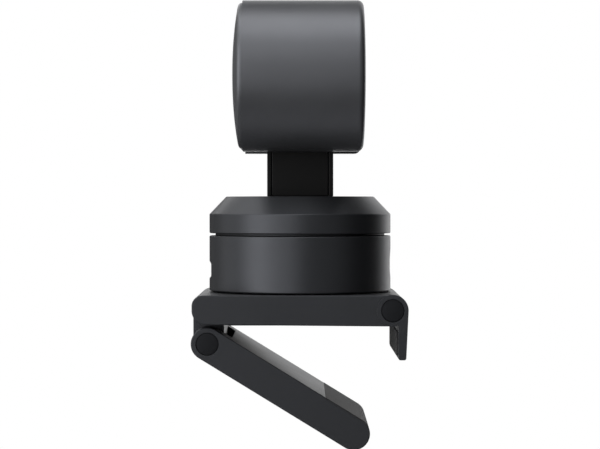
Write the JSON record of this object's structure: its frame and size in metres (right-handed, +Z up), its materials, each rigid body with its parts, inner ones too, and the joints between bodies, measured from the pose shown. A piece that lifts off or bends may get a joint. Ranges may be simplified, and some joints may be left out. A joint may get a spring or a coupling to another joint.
{
  "type": "pan-tilt webcam on a folding monitor clip",
  "caption": "Motorised webcam: a racetrack-fronted head tilts on a flat neck, pans on a round base, and hangs on a monitor by a folding clip with a front lip and a hinged rear leg.",
  "frame": {"origin": "middle of the rest pad's underside, the face that sits on a monitor's top edge, on the pan axis", "axes": "+X the way the lens looks, +Y the camera's left side, +Z up along the pan axis"},
  "size_m": [0.0521, 0.062, 0.1087],
  "materials": {
    "satin_plastic": "fine satin moulded plastic, dark cool grey",
    "clip_plastic": "matte moulded plastic, near black",
    "gloss_black": "polished black plastic",
    "rubber": "soft matte silicone rubber",
    "smoked_glass": "black-backed polished glass panel",
    "lens_glass": "coated lens glass",
    "steel": "machined steel",
    "brass": "turned brass",
    "aluminium": "machined aluminium",
    "circuit_board": "green solder mask",
    "flex_film": "amber polyimide film",
    "indicator": "dark translucent window"
  },
  "bodies": {
    "base": {"clip_plate": "clip_plastic", "rest_pad": "rubber", "tripod_thread_insert": "brass", "plate_screw_1": "steel", "plate_screw_2": "steel", "plate_screw_3": "steel", "base_shell": "satin_plastic", "base_bottom_cover": "clip_plastic", "main_board": "circuit_board", "usb_c_socket": "steel", "status_window": "indicator", "pan_motor": "aluminium", "pan_bearing": "steel"},
    "pan_stage": {"turntable": "clip_plastic", "turntable_screw_1": "steel", "turntable_screw_2": "steel", "turntable_screw_3": "steel", "pan_shaft": "steel", "pan_shaft_nut": "steel", "pan_cap": "satin_plastic", "neck_frame": "gloss_black", "neck_rear_cover": "gloss_black", "neck_front_cover": "gloss_black", "neck_flex_cable": "flex_film", "tilt_motor": "aluminium"},
    "head": {"head_shell": "satin_plastic", "rear_cover": "satin_plastic", "front_glass": "smoked_glass", "front_frame": "clip_plastic", "main_lens_barrel": "gloss_black", "main_lens": "lens_glass", "main_sensor_board": "circuit_board", "main_image_sensor": "indicator", "second_lens_barrel": "gloss_black", "second_lens": "lens_glass", "second_sensor_board": "circuit_board", "second_image_sensor": "indicator", "tilt_shaft": "steel", "tilt_hub_right": "aluminium", "tilt_hub_left": "aluminium", "processor_board": "circuit_board", "heat_spreader": "aluminium", "microphone_right": "steel", "microphone_left": "steel"},
    "leg": {"leg": "clip_plastic", "leg_pad": "rubber", "leg_friction_washer_right": "steel", "leg_friction_washer_left": "steel", "leg_hinge_pin": "steel", "leg_pin_cap_right": "gloss_black", "leg_pin_cap_left": "gloss_black"},
    "lip": {"front_lip": "clip_plastic", "lip_pad": "rubber", "lip_hinge_pin": "steel", "lip_pin_cap_right": "gloss_black", "lip_pin_cap_left": "gloss_black"}
  },
  "joints": [
    {"name": "pan", "type": "hinge", "parent": "base", "child": "pan_stage", "pos_m": [0, 0, 0.0215], "axis": [0, 0, 1], "range_deg": [-155, 155]},
    {"name": "tilt", "type": "hinge", "parent": "pan_stage", "child": "head", "pos_m": [0, 0, 0.06035], "axis": [0, 1, 0], "range_deg": [-45, 25]},
    {"name": "leg_hinge", "type": "hinge", "parent": "base", "child": "leg", "pos_m": [-0.0223, 0, -0.00445], "axis": [0, 1, 0], "range_deg": [-31.5, 103.5]},
    {"name": "lip_hinge", "type": "hinge", "parent": "base", "child": "lip", "pos_m": [0.02215, 0, 0.0037], "axis": [0, -1, 0], "range_deg": [0, 90]}
  ]
}
